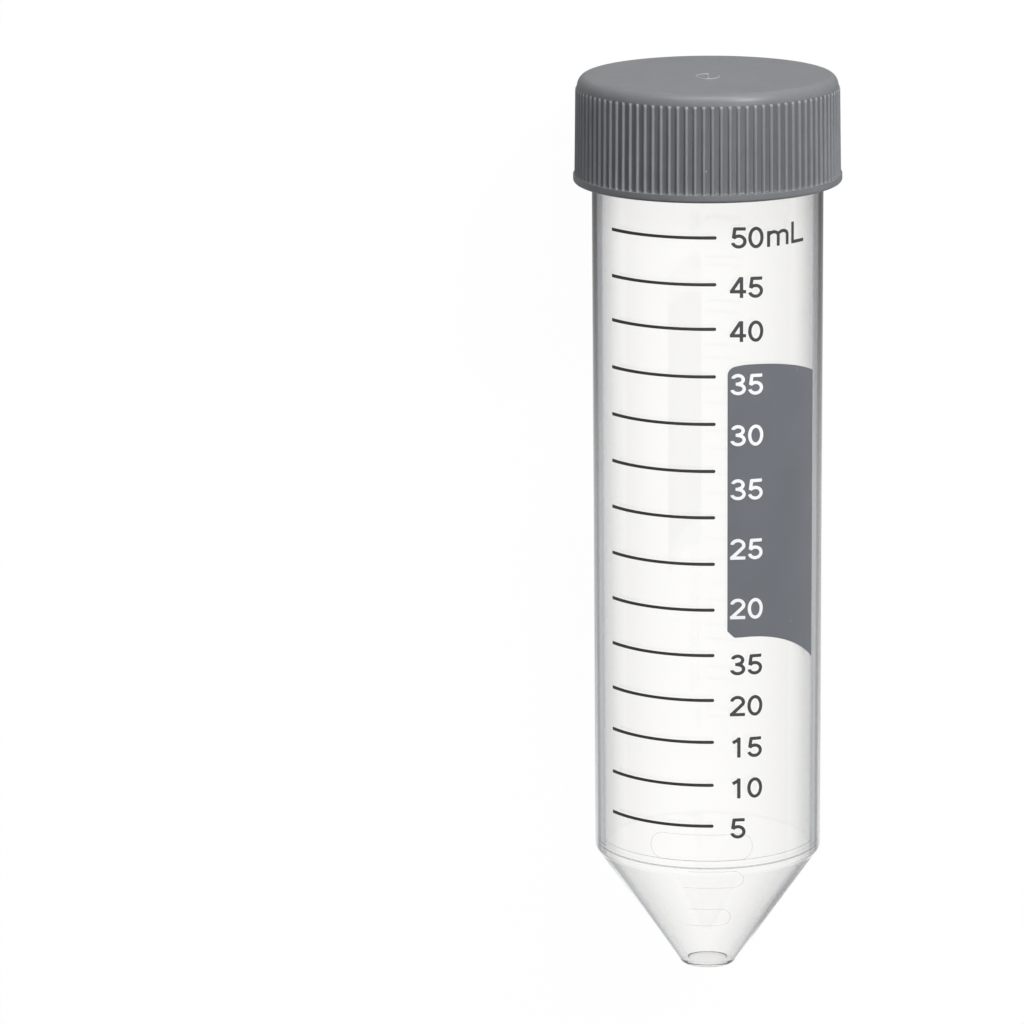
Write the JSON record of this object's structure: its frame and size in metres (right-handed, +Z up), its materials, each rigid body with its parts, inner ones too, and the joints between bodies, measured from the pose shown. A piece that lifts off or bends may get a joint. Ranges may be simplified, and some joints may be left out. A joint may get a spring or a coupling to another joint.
{
  "type": "50 ml conical tube",
  "caption": "Clear plastic centrifuge tube with a conical bottom, a printed scale with a grey writing patch, and a ribbed grey screw cap that unscrews.",
  "frame": {"origin": "on the surface that the lying tube rests on, under the middle of its box", "axes": "+Z up, print side up; +Y along the tube towards the cap, with the tube's own axis 1.56 degrees above it; +X to the right with the cap away from the viewer"},
  "size_m": [0.034, 0.1176, 0.0341],
  "materials": {
    "clear_plastic": "clear moulded polypropylene, smooth and glossy",
    "cap_plastic": "grey moulded plastic, satin top and sides",
    "seal_foam": "white foam, dull",
    "patch_ink": "grey printed ink, dull enough to write on",
    "mark_ink": "near-black printed ink"
  },
  "bodies": {
    "tube": {"tube": "clear_plastic", "writing_patch": "patch_ink", "scale_mark_01": "mark_ink", "scale_mark_02": "mark_ink", "scale_mark_03": "mark_ink", "scale_mark_04": "mark_ink", "scale_mark_05": "mark_ink", "scale_mark_06": "mark_ink", "scale_mark_07": "mark_ink", "scale_mark_08": "mark_ink", "scale_mark_09": "mark_ink", "scale_mark_10": "mark_ink", "scale_mark_11": "mark_ink", "scale_mark_12": "mark_ink", "scale_mark_13": "mark_ink", "scale_mark_14": "mark_ink"},
    "seal": {"seal_liner": "seal_foam"},
    "cap": {"cap": "cap_plastic"}
  },
  "joints": [
    {"name": "cap_lift", "type": "slide", "parent": "tube", "child": "seal", "axis": [0, 0.9996, 0.0271], "range_m": [0, 0.015]},
    {"name": "cap_turn", "type": "hinge", "parent": "seal", "child": "cap", "pos_m": [0, 0.05839, 0.01739], "axis": [0, 0.9996, 0.0271], "range_deg": [0, 1800]}
  ],
  "couplings": [
    {"joint": "cap_lift", "follows": "cap_turn", "m_per_rad": 0.00047746}
  ]
}
